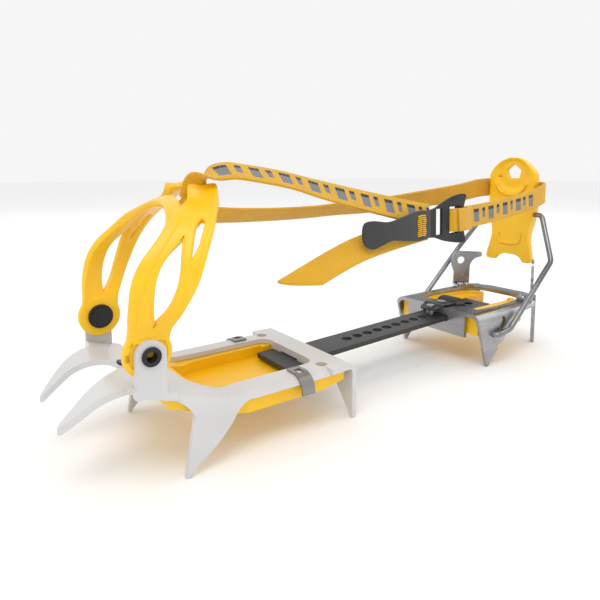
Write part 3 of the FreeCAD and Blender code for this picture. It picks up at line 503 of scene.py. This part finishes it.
def arm_row(z):
    """Place in the table whose mean height is z."""
    heights = [(r[2] + r[5]) / 2 for r in ARM]
    for k in range(len(ARM) - 1):
        if z <= heights[k + 1]:
            return k + (z - heights[k]) / (heights[k + 1] - heights[k])
    return len(ARM) - 1.0


def arm_rule(side):
    """Bend the flat arm: x runs across its width and y is the height."""
    def rule(x, y, t):
        front, rear, out = arm_frame(arm_row(y))
        w = x / WIDE
        dish = 0.9 * math.exp(-((w - 0.5) / 0.25) ** 2) if t > 0 else 0.0
        place = front.lerp(rear, w) + out * (t - dish)
        return (side * place.x, place.y, place.z)
    return rule


def build_cradle():
    outline = smooth_loop([(w * WIDE, z) for w, z in [
        (0.02, 58), (0.0, 68), (-0.03, 80), (-0.05, 94), (-0.01, 104), (0.0, 112), (0.02, 118),
        (0.03, 123), (0.0, 127), (0.04, 129.5), (0.5, 129.7), (0.96, 129.4), (1.0, 126),
        (1.02, 118), (1.03, 108), (1.04, 96), (1.06, 84), (1.08, 76), (1.02, 68), (0.98, 58),
    ]], corners=(0, 19))
    leaf = smooth_loop([(w * WIDE, z) for w, z in [
        (0.57, 71.8), (0.44, 79), (0.36, 87), (0.33, 95), (0.37, 101.5), (0.48, 107.2),
        (0.58, 101.5), (0.67, 94), (0.72, 86), (0.72, 78),
    ]], corners=(0, 5))
    narrow = smooth_loop([(w * WIDE, z) for w, z in [
        (0.79, 99.4), (0.69, 107.4), (0.64, 112.4), (0.70, 114.6), (0.79, 113.6), (0.82, 108.6),
        (0.83, 103.6),
    ]], corners=(0,))
    pieces = []
    for side in (1, -1):
        rule = arm_rule(side)
        arm = plate("arm", outline, [leaf, narrow], 4.0, 0.9, YELLOW, cut_step=2.4)
        pieces.append(reshape(arm, rule))
        foot = plate("arm_foot", circle_loop(0, PIVOT_Z, 10.7, 48),
                     [circle_loop(0, PIVOT_Z, 3.3)], 4.0, 0.8, YELLOW)
        pieces.append(reshape(foot, lambda y, z, t, side=side: (side * (ARM_X + t), y, z)))
        ring = [(side * (ARM_X + 1.7), 9.0 * math.cos(a), PIVOT_Z + 9.0 * math.sin(a))
                for a in [math.radians(10 * k) for k in range(-20, 21)]
                if math.sin(a) < 0.75]
        pieces.append(tube("arm_ring", ring, 0.9, YELLOW))
        for w0, w1, z0, z1 in ((0.12, 0.24, 72, 114), (0.92, 0.92, 76, 124)):
            bead = [rule((w0 + (w1 - w0) * k / 30) * WIDE, z0 + (z1 - z0) * k / 30, 1.7)
                    for k in range(31)]
            pieces.append(tube("arm_bead", bead, 0.62, YELLOW))
        lip = [rule(0.5 * WIDE + (x - 0.5 * WIDE) * 1.13, 90 + (y - 90) * 1.03, 1.55)
               for x, y in leaf]
        pieces.append(tube("leaf_lip", lip, 0.62, YELLOW, closed=True))
    pieces.append(build_band())
    cradle = join("cradle_shell", pieces)
    hard_edges(cradle, 40)
    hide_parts("toe_cradle")
    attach(cradle, "cradle")


def build_band():
    """Band over the toe from arm to arm, thicker along its rims."""
    left = [(-r[0], r[1], r[2], -r[3], r[4], r[5]) for r in reversed(CROWN[:-1])]
    rows = spline(CROWN + left, 1.6)
    profile = [(0, 0.0), (0.0, 1.1), (0.04, 1.6), (0.12, 1.9), (0.22, 1.5), (0.5, 1.2),
               (0.78, 1.5), (0.88, 1.9), (0.96, 1.6), (1.0, 1.1), (1.0, 0.0)]
    ring = profile + [(w, -t) for w, t in reversed(profile[1:-1])]
    verts = []
    faces = []
    count = len(ring)
    for i, row in enumerate(rows):
        start = Vector(row[:3])
        end = Vector(row[3:])
        ahead = Vector(rows[min(i + 1, len(rows) - 1)][:3])
        behind = Vector(rows[max(i - 1, 0)][:3])
        out = (end - start).cross((ahead - behind).normalized()).normalized()
        for w, t in ring:
            verts.append(at(*(start.lerp(end, w) + out * t)))
    for i in range(len(rows) - 1):
        for k in range(count):
            n = (k + 1) % count
            faces.append((i * count + k, i * count + n, (i + 1) * count + n, (i + 1) * count + k))
    faces.append(tuple(reversed(range(count))))
    faces.append(tuple((len(rows) - 1) * count + k for k in range(count)))
    return mesh_object("band", verts, faces, [YELLOW])


# ---------------------------------------------------------------- heel lever

def lever_depth(z):
    """Front and rear faces of the lever at height z, measured from its hinge line."""
    rear = [(60, -1.4), (78, 1.2), (92, 5.4), (101, 6.6), (110, 5.6), (124, 3.0), (150, 1.4)]
    value = rear[0][1]
    for (z0, y0), (z1, y1) in zip(rear, rear[1:]):
        if z0 <= z <= z1:
            t = (z - z0) / (z1 - z0)
            value = y0 + (y1 - y0) * t
    return (-4.6, value)


def build_lever():
    half = [
        (3.5, 147.0), (9.5, 144.6), (14.2, 141.2), (17.8, 137.6), (20.2, 133.2), (20.2, 128),
        (19.7, 118), (19.2, 104), (17.6, 94), (16.3, 86), (17.2, 78), (19.4, 70), (20.6, 64.4),
        (19.6, 62.2), (16.0, 61.7), (12.2, 61.8), (10.2, 64.8), (6.0, 67.0), (0.0, 67.4),
    ]
    outline = half + [(-x, z) for x, z in reversed(half[:-1])]
    outline = smooth_loop(outline, corners=(0, 2, 4, 5, 15, 21, 31, 32, 34, 36))
    window = smooth_loop([(-4.8, 130.2), (4.8, 130.2), (6.6, 136.6), (0, 142.2), (-6.6, 136.6)],
                         step=1.0, corners=(0, 1, 2, 3, 4))
    blade = plate("lever", outline, [window, circle_loop(-12.0, 131.5, 1.0, 16)], 8.0, 0.9, YELLOW,
                  cut_step=2.5)

    def rule(x, z, t):
        front, rear = lever_depth(z)
        share = (4.0 - t) / 8.0
        upper = min(1.0, max(0.0, (z - 118) / 6.0))
        reach = abs(x) / 20.0
        centre = max(0.0, 1 - (x / 15.5) ** 2 - ((z - 133) / 15.0) ** 2)
        dish = 3.0 * min(1.0, centre * 2.2) * (1 - share)
        curl = 0.9 * reach ** 2 * (1 - upper)
        return (x, HINGE_Y + front + (rear - front) * share + dish - curl, z)

    reshape(blade, rule)
    parts = [blade]
    ridge = [(13.5 * math.cos(a), 321.2, 128.0 + 11.5 * math.sin(a))
             for a in [math.radians(-165 + 6 * k) for k in range(26)]]
    parts.append(tube("ridge", ridge, 1.2, YELLOW))
    foot = [(-9.5, 321.0, 85.0), (-9.8, 321.0, 81.0), (-8.0, 321.0, 77.4), (-4.0, 321.0, 76.4),
            (4.0, 321.0, 76.4), (8.0, 321.0, 77.4), (9.8, 321.0, 81.0), (9.5, 321.0, 85.0)]
    foot = spline(foot, 1.2)
    parts.append(tube("foot_ridge", foot, 1.0, YELLOW))
    lever = join("lever_shell", parts)
    hard_edges(lever, 38)
    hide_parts("heel_lever")
    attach(lever, "lever")


# ---------------------------------------------------------------- straps

def lean_dir(degrees):
    a = math.radians(degrees)
    return (-math.sin(a), 0.0, math.cos(a))


def station(x, y, z, lean):
    return (x, y, z, *lean_dir(lean))


def build_straps():
    near = ribbon("strap_near_run", [
        (12.6, 34.0, 123.0, 0.25, 0.85, 0.2), (14.8, 35.4, 130.2, 0.2, 0.9, 0.2),
        (16.8, 41.0, 134.6, -0.45, 0.70, 0.45), (18.0, 49.0, 136.6, -0.80, 0.25, 0.5),
        station(18.9, 58, 136.0, 58), station(20.9, 82, 132.0, 54), station(23.0, 104, 126.3, 47),
        station(26.2, 139, 118.1, 36), station(29.4, 172, 111.0, 26),
        station(29.2, 186.5, 108.6, 20),
    ], blocks=True)
    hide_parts("strap_near")
    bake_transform(near)
    far = ribbon("strap_far_run", [
        (-16.6, 41.0, 123.0, 0.30, 0.75, 0.55), (-17.2, 47.0, 119.6, 0.5, 0.45, 0.7),
        station(-17.4, 54, 114.2, -52),
        station(-17.6, 62, 111.6, -54), station(-18.3, 93, 110.2, -57),
        station(-19.1, 127, 110.1, -57), station(-19.8, 152, 111.1, -54),
        station(-20.3, 172, 111.5, -50), station(-20.9, 196, 112.2, -46),
    ])
    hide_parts("strap_far")
    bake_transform(far)
    far_rear = ribbon("strap_far_rear_run", [
        station(-23.8, 178, 111.6, -50), station(-23.8, 201, 112.6, -44),
        station(-23.8, 240, 114.9, -28), station(-24.2, 280, 117.8, -12),
        station(-25.2, 312, 121.6, 0),
    ])
    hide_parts("strap_far_rear")
    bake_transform(far_rear)
    near_rear = ribbon("strap_near_rear_run", [
        station(28.6, 214.5, 104.7, 4), station(27.8, 245, 106.6, 2), station(26.4, 280, 110.0, 0),
        station(25.2, 312, 114.0, 0),
    ], blocks=True)
    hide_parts("strap_near_rear")
    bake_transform(near_rear)
    wrap = ribbon("strap_wrap_run", [
        station(25.2, 309, 113.6, 0), station(24.4, 322, 116.4, 0),
        (23.6, 330.2, 118.6, 0, 0, 1), (19.6, 334.0, 119.6, 0, 0, 1),
        (8.0, 334.4, 120.6, 0, 0, 1), (-8.0, 334.4, 121.4, 0, 0, 1),
        (-19.6, 334.0, 122.0, 0, 0, 1), (-23.6, 330.2, 122.4, 0, 0, 1),
        station(-24.4, 322, 122.2, 0), station(-25.2, 309, 121.4, 0),
    ], thick=1.7)
    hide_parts("strap_wrap")
    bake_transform(wrap)
    tail = ribbon("strap_tail_run", [
        station(29.0, 182, 100.4, 17), station(29.8, 170, 99.2, 20), station(31.6, 148, 96.8, 30),
        station(33.4, 122, 92.6, 40), station(35.2, 98, 85.8, 48), station(36.8, 72, 76.6, 50),
    ], point=20.0)
    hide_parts("strap_tail")
    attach(tail, "front")
    keeper = ribbon("strap_keeper_run", [
        station(29.2, 203.5, 104.6, 4), station(32.2, 203.6, 104.6, 4),
        station(34.6, 207, 104.8, 4), station(34.4, 213, 104.9, 4), station(33.2, 219, 105.0, 4),
        station(31.0, 224.5, 105.0, 4), station(28.6, 229.0, 105.4, 4),
    ], thick=1.9, rib=2.6)
    outer = ribbon("strap_fold_run", [
        station(36.2, 206.4, 104.8, 4), station(36.5, 211, 104.9, 4), station(35.6, 216, 105.0, 4),
        station(33.6, 222.4, 105.0, 4),
    ], width=14.6, thick=1.7, rib=2.6)
    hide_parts("strap_keeper")
    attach(keeper, "front")
    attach(outer, "front")


# ---------------------------------------------------------------- buckle and pull tab

def beside_strap(x, y, z):
    """From the buckle's own frame (x outwards, y along the strap, z up) to the whole's."""
    pitch = math.radians(2.0)
    turn = math.radians(3.0)
    y1 = y * math.cos(pitch) - z * math.sin(pitch)
    z1 = y * math.sin(pitch) + z * math.cos(pitch)
    x2 = x * math.cos(turn) - y1 * math.sin(turn)
    y2 = x * math.sin(turn) + y1 * math.cos(turn)
    return (32.0 + x2, 199.5 + y2, 104.6 + z1)


def build_buckle():
    outline = smooth_loop([
        (-22.4, 0), (-21.4, 7.2), (-12, 9.0), (-4, 12.0), (6, 15.2), (12, 16.4), (17.0, 16.0),
        (18.6, 12.0), (18.6, 0), (18.6, -11.0), (17.0, -15.2), (10, -15.4), (-2, -13.0),
        (-12, -9.8), (-21.4, -8.0),
    ])
    slots = [smooth_loop([(-11.5, -8.3), (-5.5, -8.3), (-5.5, 8.3), (-11.5, 8.3)], 1.0,
                         (0, 1, 2, 3)),
             smooth_loop([(2.4, -8.6), (12.0, -8.6), (12.0, 8.6), (2.4, 8.6)], 1.0,
                         (0, 1, 2, 3))]
    body = plate("buckle", outline, slots, 2.2, 0.5, BLACK, cut_step=2.0)

    def rule(y, z, t):
        edge = (abs(z) / 16.0) ** 2
        tip = max(0.0, (y - 2.0) / 16.0)
        return beside_strap(t + 2.4 * edge * tip - 1.2 * tip * (1 - edge), y, z)

    reshape(body, rule)
    hard_edges(body, 40)
    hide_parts("buckle_frame")
    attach(body, "front")


def build_tab():
    outline = smooth_loop([
        (-78.0, 0), (-76.4, 5.6), (-70, 6.6), (-58, 5.0), (-46, 7.0), (-34, 9.0), (-24, 8.8),
        (-20, 8.0), (-20, -8.2), (-24, -8.8), (-34, -9.0), (-46, -7.4), (-56, -6.2), (-64, -8.0),
        (-71, -9.4), (-76.6, -6.4),
    ], corners=(7, 8))
    body = plate("tab", outline, [], 1.6, 0.35, TAB, cut_step=2.0)

    def rule(y, z, t):
        far = (-y - 20.0) / 58.0
        return beside_strap(2.3 + t + 1.6 * math.sin(math.pi * far) - 0.8 * far, y, z)

    layer = body.data.uv_layers.new(name="UVMap")
    for loop in body.data.loops:
        layer.data[loop.index].uv = body.data.vertices[loop.vertex_index].co.xy
    reshape(body, rule)
    hard_edges(body, 40)
    stitches = []
    for column, lean in ((-31.5, 1), (-27.5, -1)):
        for k in range(11):
            z = -6.0 + 1.2 * k
            wobble = 0.35 * math.sin(5.1 * k + column)
            face = 4.05
            path = [beside_strap(face - 0.5, column - 1.9 + wobble, z - 0.25 * lean),
                    beside_strap(face + 0.12, column - 1.2 + wobble, z - 0.15 * lean),
                    beside_strap(face + 0.18, column + wobble, z),
                    beside_strap(face + 0.12, column + 1.2 + wobble, z + 0.15 * lean),
                    beside_strap(face - 0.5, column + 1.9 + wobble, z + 0.25 * lean)]
            stitches.append(tube("stitch", path, 0.48, THREAD, sides=6))
    stitching = join("tab_stitches", stitches)
    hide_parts("pull_tab")
    body.name = "tab_cloth_piece"
    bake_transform(body)
    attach(stitching, "tab")


build_cradle()
build_lever()
build_straps()
build_buckle()
build_tab()


# ---------------------------------------------------------------- floor, light and camera

def build_stage():
    floor = mesh_object("floor", [(-6, -6, 0), (6, -6, 0), (6, 6, 0), (-6, 6, 0)],
                        [(0, 1, 2, 3)], [node_material("floor_paper", (0.95, 0.95, 0.95),
                                                       (0.94, 0.94, 0.94), 0.9)])
    world = bpy.data.worlds.new("studio")
    world.use_nodes = True
    world.node_tree.nodes["Background"].inputs["Color"].default_value = (1, 1, 1, 1)
    world.node_tree.nodes["Background"].inputs["Strength"].default_value = 0.92
    bpy.context.scene.world = world
    bpy.context.scene.view_settings.view_transform = "Standard"
    for name, place, size, power in (
        ("key", (0.5, -0.5, 1.4), 0.8, 6.5), ("fill", (-1.1, -0.3, 0.9), 1.2, 1.5),
        ("back", (0.2, 1.3, 1.0), 0.9, 2.5),
    ):
        light = bpy.data.lights.new(name, "AREA")
        light.energy = power
        light.size = size
        lamp = bpy.data.objects.new(name, light)
        bpy.context.scene.collection.objects.link(lamp)
        lamp.location = place
        lamp.rotation_euler = (Vector((0, 0, 0.07)) - Vector(place)).to_track_quat(
            "-Z", "Y").to_euler()


def build_camera():
    data = bpy.data.cameras.new("photo_view")
    data.sensor_width = 36.0
    data.lens = 31.48
    data.shift_y = -0.1256
    data.clip_start = 0.01
    camera = bpy.data.objects.new("photo_view", data)
    bpy.context.scene.collection.objects.link(camera)
    azimuth = math.radians(54.11)
    pitch = math.radians(6.0)
    forward = Vector((-math.sin(azimuth) * math.cos(pitch), math.cos(azimuth) * math.cos(pitch),
                      -math.sin(pitch)))
    camera.location = at(249.3, -73.9, 137.3)
    camera.rotation_euler = forward.to_track_quat("-Z", "Y").to_euler()
    bpy.context.scene.camera = camera


build_stage()
build_camera()
